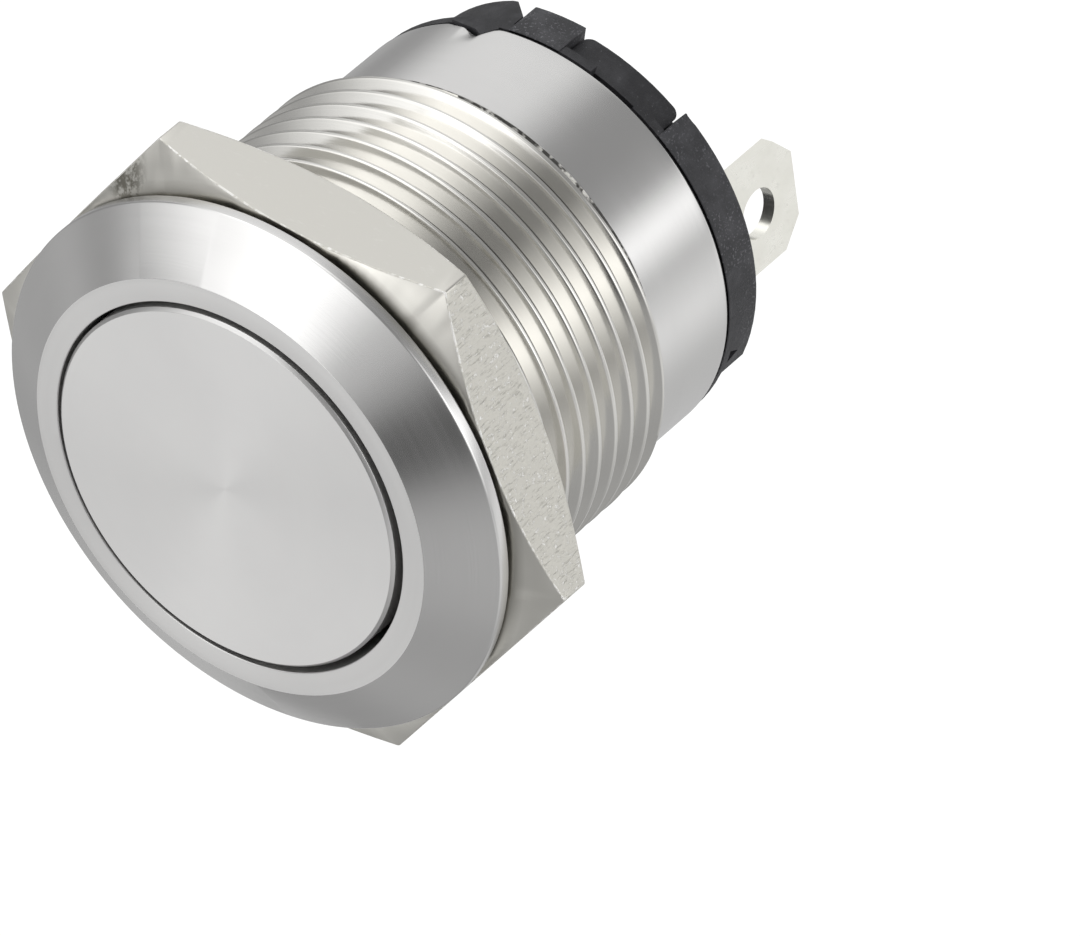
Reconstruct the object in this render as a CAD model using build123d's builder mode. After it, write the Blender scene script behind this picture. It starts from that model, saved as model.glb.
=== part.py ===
from build123d import *
import os
from math import cos, radians, sin, tan

# Panel pushbutton switch, momentary, one normally open contact pair, in millimetres.
# Z is the button's axis. The bezel seats on the panel at Z = 0, the button faces +Z and the
# terminals leave towards -Z. The two terminals lie on the X axis.

os.makedirs("parts", exist_ok=True)

# Button
button_diameter = 15.0
button_gap = 0.23
button_proud = 0.12
button_face_thickness = 1.1
button_wall = 0.8
button_edge_chamfer = 0.15
travel = 1.6
stop_clearance = 0.1

# Threaded bushing and barrel round the button's bore, lengths measured from the seat. The
# thread's depth is a share of its pitch.
bushing_wall = 1.095
thread_length = 11.76
thread_pitch = 1.0
thread_depth_share = 0.625
thread_flank_angle = 30.0
thread_relief = 0.7
thread_lead_in = 1.375
thread_overlap = 0.05
barrel_diameter = button_diameter + 2 * (button_gap + bushing_wall)
thread_diameter = barrel_diameter + 2 * thread_pitch * thread_depth_share
barrel_length = 16.7
barrel_wall = 1.1
barrel_edge_radius = 0.12

# Head of the housing, which stands out over the thread to seat on the panel
seat_width = 1.55
head_diameter = thread_diameter + 2 * seat_width
head_height = 2.0
rim_height = 0.5
ring_width = 0.95
rim_edge_radius = 0.1

# Inner lengths as shares of the barrel's length, so that a shorter barrel still holds the works.
# The gasket's width is a share of the block's radius, for the same reason.
web_depth_share = 0.2755
web_thickness_share = 0.1796
contact_spring_share = 0.1557
floor_share = 0.1617
gasket_width_share = 0.2868

# Notch in the barrel's rear edge that takes the base's key, and there is one opposite. It has
# a steep side, and a long shallow one whose lip is staked over the base.
notch_angle = 94.5
notch_depth = 0.7
notch_steep_width = 0.5
notch_knee_width = 0.45
notch_knee_depth = 0.37
notch_lip_width = 1.9
key_clearance = 0.05

# Mounting nut
nut_wall = 1.55
nut_across_flats = thread_diameter + 2 * nut_wall
nut_thickness = 3.05
nut_gap = 0.2
nut_turn = 45.7
nut_chamfer_angle = 28.0
nut_bore_chamfer = 0.3
nut_clearance = 0.06

# Plunger and what rides on it
stem_diameter = 5.6
stem_clearance = 0.05
press_clearance = 0.02
plunger_head_thickness = 1.42
tail_diameter = 2.8
tail_overhang = 0.6
seal_thickness = 0.7
seal_depth = 0.7
clip_thickness = 0.5
clip_groove_depth = 0.6
clip_groove_diameter = stem_diameter - 2 * clip_groove_depth
clip_width = 2.0
clip_diameter = clip_groove_diameter + 2 * clip_width
clip_relief_depth = 0.9
clip_relief_diameter = clip_groove_diameter + 2 * clip_relief_depth
clip_mouth = 3.7
clip_gap = 0.05
clip_relief_angles = ((190, 250), (290, 350))
retainer_thickness = 0.38
retainer_diameter = 4.8
retainer_groove_diameter = 2.2
retainer_slits = 3
retainer_slit_reach = 1.55
retainer_slit_width = 0.36

# Springs
return_wire = 0.6
return_coil_diameter = 9.2
return_turns = 3.5
contact_wire = 0.36
contact_coil_diameter = 3.9
contact_turns = 3
spring_end_gap = 0.03

# Base mouldings
edge_gap = 0.1
flange_thickness = 0.4
flange_inset = 0.05
skirt_length = 1.4
chamber_wall = 0.68
block_clearance = 0.055
gasket_thickness = 0.6
land_inset = 0.02
land_height = 0.905
cover_core_diameter = barrel_diameter - 2 * (land_inset + land_height)
lobe_gap = 0.05
lobe_corner_radius = 0.4
recessed_lobe_height = 0.5
recessed_lobe_diameter = cover_core_diameter + 2 * recessed_lobe_height
recessed_lobe_angles = (42.6, 73.8)
rounded_lobe_angles = (89.4, 124.0)
rounded_lobe_inset = 0.32
rounded_lobe_offset = 1.65
rounded_lobe_direction = 56.5
lobe_end_chamfer = 0.8
wide_land_angles = (-29.0, 42.2)
narrow_land_angles = (74.2, 88.9)
land_edge_radius = 0.15
flange_slot_angles = (51.4, 64.7)
flange_slot_depth = 0.8
pocket_angle = 336.2
pocket_width = 1.1
pocket_depth = 1.0
tail_clearance = 0.4

# Contacts
contact_end_distance = 1.2
contact_closed_gap = 0.02
overtravel = 0.5
tip_diameter = 2.2
tip_height = 0.4
fixed_head_diameter = 2.4
fixed_head_height = 0.48
rivet_diameter = 1.2
rivet_edge_chamfer = 0.15
bridge_end_clearance = 0.79
bridge_width = 3.6
bridge_thickness = 0.4

# Terminals
tab_width = 4.75
tab_thickness = 0.5
tab_wall_gap = 0.02
tab_projection = 5.1
tab_chamfer = 1.0
tab_hole_diameter = 2.0
tab_hole_inset = 2.34
tab_bend_radius = 0.3
tab_clearance = 0.05
foot_overhang = 1.4

# Places worked out from the sizes above
front_bore_radius = button_diameter / 2 + button_gap
ring_radius = front_bore_radius + ring_width
head_radius = head_diameter / 2
thread_radius = thread_diameter / 2
barrel_radius = barrel_diameter / 2
thread_depth = thread_radius - barrel_radius
run_out = -thread_length - thread_depth
web_depth = round(barrel_length * web_depth_share, 2)
web_thickness = round(barrel_length * web_thickness_share, 2)
contact_spring_length = round(barrel_length * contact_spring_share, 2)
floor_thickness = round(barrel_length * floor_share, 2)
rear_bore_radius = barrel_radius - barrel_wall
guide_radius = stem_diameter / 2 + stem_clearance
web_rear = -web_depth - web_thickness
button_top = head_height + button_proud
cap_underside = button_top - button_face_thickness
cap_inner_radius = button_diameter / 2 - button_wall
skirt_end = travel + stop_clearance - web_depth
head_underside = cap_underside - plunger_head_thickness
flange_top = -barrel_length - edge_gap
flange_rear = flange_top - flange_thickness
flange_radius = barrel_radius - flange_inset
base_rear = flange_rear - skirt_length
floor_top = flange_rear + floor_thickness
block_radius = rear_bore_radius - block_clearance
block_front = web_rear - gasket_thickness
chamber_radius = block_radius - chamber_wall
tab_offset = chamber_radius - tab_wall_gap
gasket_width = round(block_radius * gasket_width_share, 2)
core_radius = cover_core_diameter / 2
rounded_lobe_radius = core_radius - rounded_lobe_inset
land_radius = barrel_radius - land_inset
bridge_length = 2 * (chamber_radius - bridge_end_clearance)
contact_offset = bridge_length / 2 - contact_end_distance
foot_reach = contact_offset - foot_overhang
foot_top = floor_top + tab_thickness
fixed_top = foot_top + fixed_head_height
contact_gap = travel - overtravel
tip_face = fixed_top + contact_gap + contact_closed_gap
bridge_underside = tip_face + tip_height
bridge_top = bridge_underside + bridge_thickness
retainer_top = bridge_underside - contact_closed_gap
retainer_rear = retainer_top - retainer_thickness
tail_end = retainer_rear - tail_overhang
shoulder = bridge_top + contact_spring_length
seal_centre = -web_depth - seal_depth
seal_groove_radius = stem_diameter / 2 - seal_thickness
seal_groove_half = seal_thickness / 2 + stem_clearance
clip_top = web_rear - clip_gap
clip_rear = clip_top - clip_thickness
clip_groove_radius = clip_groove_diameter / 2
tab_end = base_rear - tab_projection
nut_front = -nut_gap
nut_rear = nut_front - nut_thickness
sides = (("a", 1), ("b", -1))
half_turns = (0, 180)


def ring_sector(inner, outer, angles, mode=Mode.ADD):
    """A flat ring sector between two radii and two angles, for the sketch in work."""
    start, end = angles
    with BuildLine() as outline:
        inside = CenterArc((0, 0), inner, start, end - start)
        outside = CenterArc((0, 0), outer, start, end - start)
        Line(inside @ 0, outside @ 0)
        Line(inside @ 1, outside @ 1)
    make_face(outline.edges(), mode=mode)


def turned(angles, turn):
    """The same stretch of angles, turned about the axis."""
    return (angles[0] + turn, angles[1] + turn)


def rim_wedge(angle, edge, outline, root, radii, mode):
    """A wedge across the rim between two radii, for the part in work.

    The outline gives its points, as distance round the rim and height off the edge, from one
    end on the edge to the other. Its straight root runs on from the edge, the other way.
    """
    inner, outer = radii
    outward = Vector(cos(radians(angle)), sin(radians(angle)), 0)
    around = Vector(-sin(radians(angle)), cos(radians(angle)), 0)
    origin = outward * inner + Vector(0, 0, edge)
    with BuildSketch(Plane(origin=origin, x_dir=around, z_dir=outward)) as wedge:
        with BuildLine():
            Polyline(
                (outline[0][0], root),
                *outline,
                (outline[-1][0], root),
                close=True,
            )
        make_face()
    extrude(wedge.sketch, amount=outer - inner, mode=mode)


def coil(bottom, top, coil_diameter, wire, turns):
    """A round-wire coil that fills the height from bottom to top, for the part in work."""
    start = bottom + wire / 2 + spring_end_gap
    height = top - bottom - wire - 2 * spring_end_gap
    with BuildLine() as path:
        Helix(pitch=height / turns, height=height, radius=coil_diameter / 2, center=(0, 0, start))
    with BuildSketch(Plane(origin=path.line @ 0, z_dir=path.line % 0)) as section:
        Circle(wire / 2)
    sweep(section.sketch, path=path.line, is_frenet=True)


def rivet(offset, face, base, far, head_diameter):
    """A contact rivet on the X axis: its head runs from face to base and its shank on to far."""
    for diameter, height in ((head_diameter, face), (rivet_diameter, far)):
        with BuildSketch(Plane.XY.offset(base)) as disc:
            with Locations((offset, 0)):
                Circle(diameter / 2)
        extrude(disc.sketch, amount=height - base)


def thread_ridge():
    """The thread's helical ridge, which stands on the barrel's radius.

    It is right-hand, with a 60 degree form and a crest an eighth of the pitch wide. It starts at
    the relief under the head and runs out in a 45 degree chamfer.
    """
    slope = tan(radians(thread_flank_angle))
    crest_half = thread_pitch / 16
    base_half = crest_half + (thread_depth + thread_overlap) * slope
    start = run_out - thread_lead_in
    with BuildPart() as ridge:
        with BuildLine() as path:
            Helix(
                pitch=thread_pitch,
                height=-start,
                radius=barrel_radius,
                center=(0, 0, start),
            )
        with BuildSketch(Plane(origin=(0, 0, start), x_dir=(1, 0, 0), z_dir=(0, -1, 0))) as form:
            with BuildLine():
                Polyline(
                    (barrel_radius - thread_overlap, -base_half),
                    (thread_radius, -crest_half),
                    (thread_radius, crest_half),
                    (barrel_radius - thread_overlap, base_half),
                    close=True,
                )
            make_face()
        sweep(form.sketch, path=path.line, is_frenet=True)
        with BuildSketch(Plane.XZ) as limits:
            with BuildLine():
                Polyline(
                    (rear_bore_radius, -thread_relief),
                    (head_radius, -thread_relief),
                    (head_radius, run_out + head_radius - barrel_radius),
                    (rear_bore_radius, run_out + rear_bore_radius - barrel_radius),
                    close=True,
                )
            make_face()
        revolve(limits.sketch, axis=Axis.Z, mode=Mode.INTERSECT)
    return ridge.part


# Notch and pocket outlines round the rim
notch_outline = (
    (-notch_steep_width, 0),
    (0, notch_depth),
    (notch_knee_width, notch_knee_depth),
    (notch_lip_width, 0),
)
key_outline = (
    (key_clearance - notch_steep_width, 0),
    (0, notch_depth - 3 * key_clearance),
    (notch_knee_width - key_clearance, notch_knee_depth - 2 * key_clearance),
    (notch_lip_width - 4 * key_clearance, 0),
)
pocket_outline = ((-pocket_width / 2, 0), (0, -pocket_depth), (pocket_width / 2, 0))

# Housing: bezel, threaded bushing, barrel and inner web, turned from one bar
with BuildPart() as housing:
    with BuildSketch(Plane.XZ):
        with BuildLine():
            Polyline(
                (front_bore_radius, head_height),
                (ring_radius, head_height),
                (head_radius, rim_height),
                (head_radius, 0),
                (barrel_radius, 0),
                (barrel_radius, -barrel_length),
                (rear_bore_radius, -barrel_length),
                (rear_bore_radius, web_rear),
                (guide_radius, web_rear),
                (guide_radius, -web_depth),
                (front_bore_radius, -web_depth),
                close=True,
            )
        make_face()
    revolve(axis=Axis.Z)
    rim_edges = housing.edges().filter_by(GeomType.CIRCLE).sort_by(SortBy.RADIUS)[-2:]
    fillet(rim_edges, rim_edge_radius)
    rear_edge = housing.faces().sort_by(Axis.Z)[0].outer_wire().edges()
    fillet(rear_edge, barrel_edge_radius)
    notch_radii = (rear_bore_radius - barrel_wall / 2, barrel_radius + barrel_wall / 2)
    for turn in half_turns:
        rim_wedge(
            notch_angle + turn,
            -barrel_length,
            notch_outline,
            -edge_gap,
            notch_radii,
            Mode.SUBTRACT,
        )
    add(thread_ridge())

housing.part.label = "housing"
export_step(housing.part, "parts/housing.step")

# Mounting nut: hexagon turned down at 28 degrees on both sides, so its corners are thin
nut_corner_radius = nut_across_flats / 2 / cos(radians(30))
nut_corner_drop = (nut_corner_radius - nut_across_flats / 2) * tan(radians(nut_chamfer_angle))
with BuildPart() as hex_nut:
    with BuildSketch(Plane.XY.offset(nut_rear)):
        RegularPolygon(nut_across_flats / 2, 6, major_radius=False, rotation=nut_turn)
    extrude(amount=nut_thickness)
    with BuildSketch(Plane.XZ) as nut_profile:
        with BuildLine():
            Polyline(
                (0, nut_front),
                (nut_across_flats / 2, nut_front),
                (nut_corner_radius, nut_front - nut_corner_drop),
                (nut_corner_radius, nut_rear + nut_corner_drop),
                (nut_across_flats / 2, nut_rear),
                (0, nut_rear),
                close=True,
            )
        make_face()
    revolve(nut_profile.sketch, axis=Axis.Z, mode=Mode.INTERSECT)
    with Locations((0, 0, nut_front)):
        Hole(thread_radius + nut_clearance)
    bore_edges = hex_nut.edges().filter_by(GeomType.CIRCLE).sort_by(SortBy.RADIUS)[:2]
    chamfer(bore_edges, nut_bore_chamfer)

hex_nut.part.label = "hex_nut"
export_step(hex_nut.part, "parts/hex_nut.step")

# Button cap: a turned cup whose skirt guides it in the front bore and stops it on the web
with BuildPart() as button_cap:
    with BuildSketch(Plane.XZ):
        with BuildLine():
            Polyline(
                (0, button_top),
                (button_diameter / 2 - button_edge_chamfer, button_top),
                (button_diameter / 2, button_top - button_edge_chamfer),
                (button_diameter / 2, skirt_end),
                (cap_inner_radius, skirt_end),
                (cap_inner_radius, cap_underside),
                (0, cap_underside),
                close=True,
            )
        make_face()
    revolve(axis=Axis.Z)

button_cap.part.label = "button_cap"
export_step(button_cap.part, "parts/button_cap.step")

# Plunger: head pressed into the cap, stem in the guide bore, tail that carries the strip
with BuildPart() as plunger:
    with BuildSketch(Plane.XZ):
        with BuildLine():
            Polyline(
                (0, cap_underside),
                (cap_inner_radius - press_clearance, cap_underside),
                (cap_inner_radius - press_clearance, head_underside),
                (stem_diameter / 2, head_underside),
                (stem_diameter / 2, seal_centre + seal_groove_half),
                (seal_groove_radius, seal_centre + seal_groove_half),
                (seal_groove_radius, seal_centre - seal_groove_half),
                (stem_diameter / 2, seal_centre - seal_groove_half),
                (stem_diameter / 2, clip_top),
                (clip_groove_radius, clip_top),
                (clip_groove_radius, clip_rear),
                (stem_diameter / 2, clip_rear),
                (stem_diameter / 2, shoulder),
                (tail_diameter / 2, shoulder),
                (tail_diameter / 2, retainer_top),
                (retainer_groove_diameter / 2, retainer_top),
                (retainer_groove_diameter / 2, retainer_rear),
                (tail_diameter / 2, retainer_rear),
                (tail_diameter / 2, tail_end),
                (0, tail_end),
                close=True,
            )
        make_face()
    revolve(axis=Axis.Z)
    tail_edge = plunger.faces().sort_by(Axis.Z)[0].edges()
    chamfer(tail_edge, tail_overhang / 2)

plunger.part.label = "plunger"
export_step(plunger.part, "parts/plunger.step")

# Seal ring in the plunger's groove
with BuildPart() as plunger_seal:
    with BuildSketch(Plane.XZ):
        with Locations((seal_groove_radius + seal_thickness / 2, seal_centre)):
            Circle(seal_thickness / 2)
    revolve(axis=Axis.Z)

plunger_seal.part.label = "plunger_seal"
export_step(plunger_seal.part, "parts/plunger_seal.step")

# E-clip behind the web: three lugs grip the groove, and the mouth lets it slide on
with BuildPart() as retaining_clip:
    with BuildSketch(Plane.XY.offset(clip_rear)):
        Circle(clip_diameter / 2)
        Circle(clip_groove_radius, mode=Mode.SUBTRACT)
        mouth_from_centre = (Align.CENTER, Align.MIN)
        Rectangle(clip_mouth, clip_diameter, align=mouth_from_centre, mode=Mode.SUBTRACT)
        for angles in clip_relief_angles:
            ring_sector(clip_groove_radius / 2, clip_relief_diameter / 2, angles, Mode.SUBTRACT)
    extrude(amount=clip_thickness)

retaining_clip.part.label = "retaining_clip"
export_step(retaining_clip.part, "parts/retaining_clip.step")

# Return spring between the web and the plunger's head
with BuildPart() as return_spring:
    coil(-web_depth, head_underside, return_coil_diameter, return_wire, return_turns)

return_spring.part.label = "return_spring"
export_step(return_spring.part, "parts/return_spring.step")

# Contact spring between the plunger's shoulder and the contact strip
with BuildPart() as contact_spring:
    coil(bridge_top, shoulder, contact_coil_diameter, contact_wire, contact_turns)

contact_spring.part.label = "contact_spring"
export_step(contact_spring.part, "parts/contact_spring.step")

# Contact strip with round ends, held on the plunger's tail
with BuildPart() as contact_bridge:
    with BuildSketch(Plane.XY.offset(bridge_underside)):
        SlotOverall(bridge_length, bridge_width)
        Circle(tail_diameter / 2 + stem_clearance, mode=Mode.SUBTRACT)
        with Locations((contact_offset, 0), (-contact_offset, 0)):
            Circle(rivet_diameter / 2 + press_clearance, mode=Mode.SUBTRACT)
    extrude(amount=bridge_thickness)

contact_bridge.part.label = "contact_bridge"
export_step(contact_bridge.part, "parts/contact_bridge.step")

# Push-on washer in the tail's groove, with the three slits that let it spring open
with BuildPart() as bridge_retainer:
    with BuildSketch(Plane.XY.offset(retainer_rear)):
        Circle(retainer_diameter / 2)
        Circle(retainer_groove_diameter / 2 + press_clearance, mode=Mode.SUBTRACT)
        slit_from_centre = (Align.MIN, Align.CENTER)
        with PolarLocations(0, retainer_slits):
            Rectangle(
                retainer_slit_reach,
                retainer_slit_width,
                align=slit_from_centre,
                mode=Mode.SUBTRACT,
            )
    extrude(amount=retainer_thickness)

bridge_retainer.part.label = "bridge_retainer"
export_step(bridge_retainer.part, "parts/bridge_retainer.step")

# Flat ring that seals the contact chamber against the web
with BuildPart() as chamber_gasket:
    with BuildSketch(Plane.XY.offset(block_front)):
        Circle(block_radius)
        Circle(block_radius - gasket_width, mode=Mode.SUBTRACT)
    extrude(amount=gasket_thickness)

chamber_gasket.part.label = "chamber_gasket"
export_step(chamber_gasket.part, "parts/chamber_gasket.step")

# Contact block: the inner moulding, a cup with a flange behind the barrel and lobes on it
with BuildPart() as contact_block:
    with BuildSketch(Plane.XZ):
        with BuildLine():
            Polyline(
                (0, floor_top),
                (chamber_radius, floor_top),
                (chamber_radius, block_front),
                (block_radius, block_front),
                (block_radius, flange_top),
                (flange_radius, flange_top),
                (flange_radius, flange_rear),
                (0, flange_rear),
                close=True,
            )
        make_face()
    revolve(axis=Axis.Z)
    for turn in half_turns:
        with BuildSketch(Plane.XY.offset(base_rear)) as rounded_lobe:
            stretch = turned(rounded_lobe_angles, turn)
            ring_sector(core_radius + lobe_gap, flange_radius, stretch)
            direction = radians(rounded_lobe_direction + turn)
            centre = Vector(cos(direction), sin(direction)) * rounded_lobe_offset
            with Locations(centre):
                Circle(rounded_lobe_radius, mode=Mode.INTERSECT)
        extrude(rounded_lobe.sketch, amount=skirt_length)
        lobe_ends = contact_block.edges(Select.LAST).filter_by(GeomType.LINE).group_by(Axis.Z)[0]
        chamfer(lobe_ends, lobe_end_chamfer)
        with BuildSketch(Plane.XY.offset(base_rear)) as recessed_lobe:
            stretch = turned(recessed_lobe_angles, turn)
            ring_sector(core_radius + lobe_gap, recessed_lobe_diameter / 2, stretch)
        extrude(recessed_lobe.sketch, amount=skirt_length)
        lobe_ends = contact_block.edges(Select.LAST).filter_by(GeomType.LINE).group_by(Axis.Z)[0]
        fillet(lobe_ends, lobe_corner_radius)
        with BuildSketch(Plane.XY.offset(flange_rear)) as flange_slot:
            stretch = turned(flange_slot_angles, turn)
            ring_sector(flange_radius - flange_slot_depth, barrel_radius, stretch)
        extrude(flange_slot.sketch, amount=flange_thickness, mode=Mode.SUBTRACT)
        rim_wedge(
            notch_angle + turn,
            -barrel_length,
            key_outline,
            -edge_gap,
            (block_radius - notch_depth, flange_radius),
            Mode.ADD,
        )
        rim_wedge(
            pocket_angle + turn,
            flange_top,
            pocket_outline,
            edge_gap,
            (core_radius, barrel_radius),
            Mode.SUBTRACT,
        )
    for name, side in sides:
        slot_x = side * (tab_offset - tab_thickness / 2)
        with BuildSketch(Plane.XY.offset(flange_rear)) as blade_slot:
            with Locations((slot_x, 0)):
                Rectangle(tab_thickness + 2 * tab_clearance, tab_width + 2 * tab_clearance)
        extrude(blade_slot.sketch, amount=floor_thickness + tab_thickness, mode=Mode.SUBTRACT)
        relief_x = side * (tab_offset - tab_thickness)
        with BuildSketch(Plane.XY.offset(floor_top)) as bend_relief:
            with Locations((relief_x, 0)):
                Rectangle(2 * (tab_bend_radius + tab_clearance), tab_width + 2 * tab_clearance)
        extrude(bend_relief.sketch, amount=-tab_bend_radius - tab_clearance, mode=Mode.SUBTRACT)
    with BuildSketch(Plane.XY.offset(floor_top)) as tail_well:
        Circle(tail_diameter / 2 + tail_clearance)
    well_depth = floor_top - (tail_end - travel - tail_clearance)
    extrude(tail_well.sketch, amount=-well_depth, mode=Mode.SUBTRACT)

contact_block.part.label = "contact_block"
export_step(contact_block.part, "parts/contact_block.step")

# Base cover: the outer moulding, whose lands stand between the block's lobes
with BuildPart() as base_cover:
    with BuildSketch(Plane.XY.offset(base_rear)):
        Circle(core_radius)
        for turn in half_turns:
            for land in (wide_land_angles, narrow_land_angles):
                ring_sector(core_radius / 2, land_radius, turned(land, turn))
        for name, side in sides:
            with Locations((side * (tab_offset - tab_thickness / 2), 0)):
                Rectangle(
                    tab_thickness + 2 * tab_clearance,
                    tab_width + 2 * tab_clearance,
                    mode=Mode.SUBTRACT,
                )
    extrude(amount=skirt_length)
    rear_rim = base_cover.faces().sort_by(Axis.Z)[0].outer_wire().edges()
    fillet(rear_rim, land_edge_radius)
    for turn in half_turns:
        rim_wedge(
            pocket_angle + turn,
            flange_top,
            pocket_outline,
            edge_gap,
            (core_radius, barrel_radius),
            Mode.SUBTRACT,
        )

base_cover.part.label = "base_cover"
export_step(base_cover.part, "parts/base_cover.step")

# Tab terminals: a foot inside the chamber, bent down through the floor to the solder tab
for name, side in sides:
    with BuildPart() as terminal:
        with BuildSketch(Plane.XZ):
            with BuildLine():
                Polyline(
                    (side * foot_reach, foot_top),
                    (side * tab_offset, foot_top),
                    (side * tab_offset, tab_end),
                    (side * (tab_offset - tab_thickness), tab_end),
                    (side * (tab_offset - tab_thickness), floor_top),
                    (side * foot_reach, floor_top),
                    close=True,
                )
            make_face()
        extrude(amount=tab_width / 2, both=True)
        across = terminal.edges().filter_by(Axis.Y)
        inner_corner = (side * (tab_offset - tab_thickness), 0, floor_top)
        inner_bend = across.sort_by_distance(inner_corner)[0]
        outer_corner = (side * tab_offset, 0, foot_top)
        outer_bend = across.sort_by_distance(outer_corner)[0]
        fillet(inner_bend, tab_bend_radius)
        fillet(outer_bend, tab_bend_radius + tab_thickness)
        tab_corners = terminal.edges().filter_by(Axis.X).group_by(Axis.Z)[0]
        chamfer(tab_corners, tab_chamfer)
        solder_plane = Plane.YZ.offset(side * tab_offset)
        with BuildSketch(solder_plane) as solder_hole:
            with Locations((0, tab_end + tab_hole_inset)):
                Circle(tab_hole_diameter / 2)
        extrude(solder_hole.sketch, amount=tab_thickness, both=True, mode=Mode.SUBTRACT)
        with BuildSketch(Plane.XY.offset(floor_top)) as rivet_hole:
            with Locations((side * contact_offset, 0)):
                Circle(rivet_diameter / 2 + press_clearance)
        extrude(rivet_hole.sketch, amount=tab_thickness, mode=Mode.SUBTRACT)
    terminal.part.label = f"terminal_{name}"
    export_step(terminal.part, f"parts/terminal_{name}.step")

# Contact rivets: one on each terminal's foot, and one on each end of the strip
for name, side in sides:
    place = side * contact_offset
    with BuildPart() as fixed_contact:
        rivet(place, fixed_top, foot_top, floor_top, fixed_head_diameter)
        chamfer(fixed_contact.faces().sort_by(Axis.Z)[-1].edges(), rivet_edge_chamfer)
    fixed_contact.part.label = f"fixed_contact_{name}"
    export_step(fixed_contact.part, f"parts/fixed_contact_{name}.step")

    with BuildPart() as bridge_contact:
        rivet(place, tip_face, bridge_underside, bridge_top, tip_diameter)
        chamfer(bridge_contact.faces().sort_by(Axis.Z)[0].edges(), rivet_edge_chamfer)
    bridge_contact.part.label = f"bridge_contact_{name}"
    export_step(bridge_contact.part, f"parts/bridge_contact_{name}.step")
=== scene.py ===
from functools import partial
from math import acos, atan2, ceil, cos, pi, radians, sin, sqrt, tan

import bmesh
import bpy
from mathutils import Matrix, Vector, noise


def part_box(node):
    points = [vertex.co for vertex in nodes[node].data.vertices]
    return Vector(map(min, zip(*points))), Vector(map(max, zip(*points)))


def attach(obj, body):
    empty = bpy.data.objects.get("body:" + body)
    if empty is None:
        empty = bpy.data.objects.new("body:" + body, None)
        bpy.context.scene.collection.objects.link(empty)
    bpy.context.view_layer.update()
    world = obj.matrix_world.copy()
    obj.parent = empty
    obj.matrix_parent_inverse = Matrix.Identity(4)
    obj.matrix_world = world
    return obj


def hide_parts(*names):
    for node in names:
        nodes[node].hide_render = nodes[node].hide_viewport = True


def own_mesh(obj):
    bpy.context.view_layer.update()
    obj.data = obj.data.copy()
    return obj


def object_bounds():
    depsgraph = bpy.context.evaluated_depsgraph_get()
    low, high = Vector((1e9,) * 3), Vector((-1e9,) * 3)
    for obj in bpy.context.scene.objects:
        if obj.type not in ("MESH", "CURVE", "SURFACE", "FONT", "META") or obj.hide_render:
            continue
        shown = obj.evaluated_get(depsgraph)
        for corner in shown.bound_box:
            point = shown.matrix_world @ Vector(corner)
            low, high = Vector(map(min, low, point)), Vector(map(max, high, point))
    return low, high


# Panel pushbutton switch. Sizes are in millimetres, and meshes are scaled to metres.
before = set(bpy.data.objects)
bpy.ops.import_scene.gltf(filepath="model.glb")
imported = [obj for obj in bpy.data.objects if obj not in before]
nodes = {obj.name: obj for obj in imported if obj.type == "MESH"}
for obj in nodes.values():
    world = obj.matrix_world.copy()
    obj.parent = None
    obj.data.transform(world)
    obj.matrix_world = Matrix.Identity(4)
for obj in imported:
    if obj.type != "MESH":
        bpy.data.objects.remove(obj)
cad_low, cad_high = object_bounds()
mm = 0.001


def box_mm(node):
    """Lowest and highest corner of a solid, in millimetres."""
    low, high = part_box(node)
    return low / mm, high / mm


housing_low, housing_high = box_mm("housing")
cap_low, cap_high = box_mm("button_cap")
nut_low, nut_high = box_mm("hex_nut")

# Housing
head_radius = housing_high.x
head_height = housing_high.z
rim_height = 0.5
button_radius = cap_high.x
button_gap = 0.23
ring_width = 0.95
front_bore_radius = button_radius + button_gap
ring_radius = front_bore_radius + ring_width
web_front = -4.6
web_rear = -7.6
guide_radius = 2.85
barrel_radius = 8.825
barrel_end = housing_low.z
rear_bore_radius = 7.725

# Radii of the housing's soft edges
ring_inner_edge = 0.05
ring_outer_edge = 0.04
rim_front_edge = 0.12
rim_rear_edge = 0.1
neck_fillet = 0.05
barrel_outer_edge = 0.14
barrel_inner_edge = 0.06
web_edge = 0.1

# Thread: 60 degree form, right-hand, one start. It fades in behind a relief under the head and
# runs out onto the barrel at 45 degrees, with a short plain foot behind that.
thread_radius = 9.45
thread_pitch = 1.0
thread_end = -11.76
thread_relief = -0.7
thread_relief_fade = 0.1
thread_run_out = thread_end - (thread_radius - barrel_radius)
thread_first_crest = -0.76
thread_flank_angle = radians(30)
thread_foot = 0.04

# Places on the thread's form, as shares of the pitch from the crest's middle: the crest's end, the
# start of the root, painted dark as shade, and the rings between the crest's middle and the root's
crest_half = 1 / 16
root_start = 0.4
thread_phases = (0.045, 0.07, 0.1, 0.18, 0.26, 0.34, 0.395, 0.425, 0.46)

# Behind this height the run-out is painted dark as shade, with bright flecks painted as glints
burr_start = -12.14

# Notches in the barrel's rear edge: an outline of distance round the rim and depth, from end to
# end. The depth fades out over the reach in front of the edge, on rings at these shares of it.
notch_angle = 94.5
notch_outline = ((-0.8, 0), (-0.6, 0.03), (-0.42, 0.14), (0, 0.7), (0.45, 0.37), (1.9, 0))
notch_reach = 1.4
rear_shares = (1.15, 1.0, 0.8, 0.6, 0.4, 0.25)

# Degrees from a notch's middle to the closer columns there
notch_columns = [step / 2 for step in range(-8, 27)]

# The lip beside the first notch is pushed in: middle and half width in degrees, and depth
dent_angle = 97.3
dent_spread = 3.6
dent_depth = 0.2

# Nut: the turn is the angle from the X axis to a corner, and the side is from corner to corner,
# both in degrees
nut_across_flats = 22.0
nut_flat = nut_across_flats / 2
nut_turn = 45.7
nut_side = 60
nut_chamfer_angle = radians(28)
nut_clearance = 0.06
nut_bore_radius = thread_radius + nut_clearance
nut_bore_chamfer = 0.3
nut_corner_radius = 0.12

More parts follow.
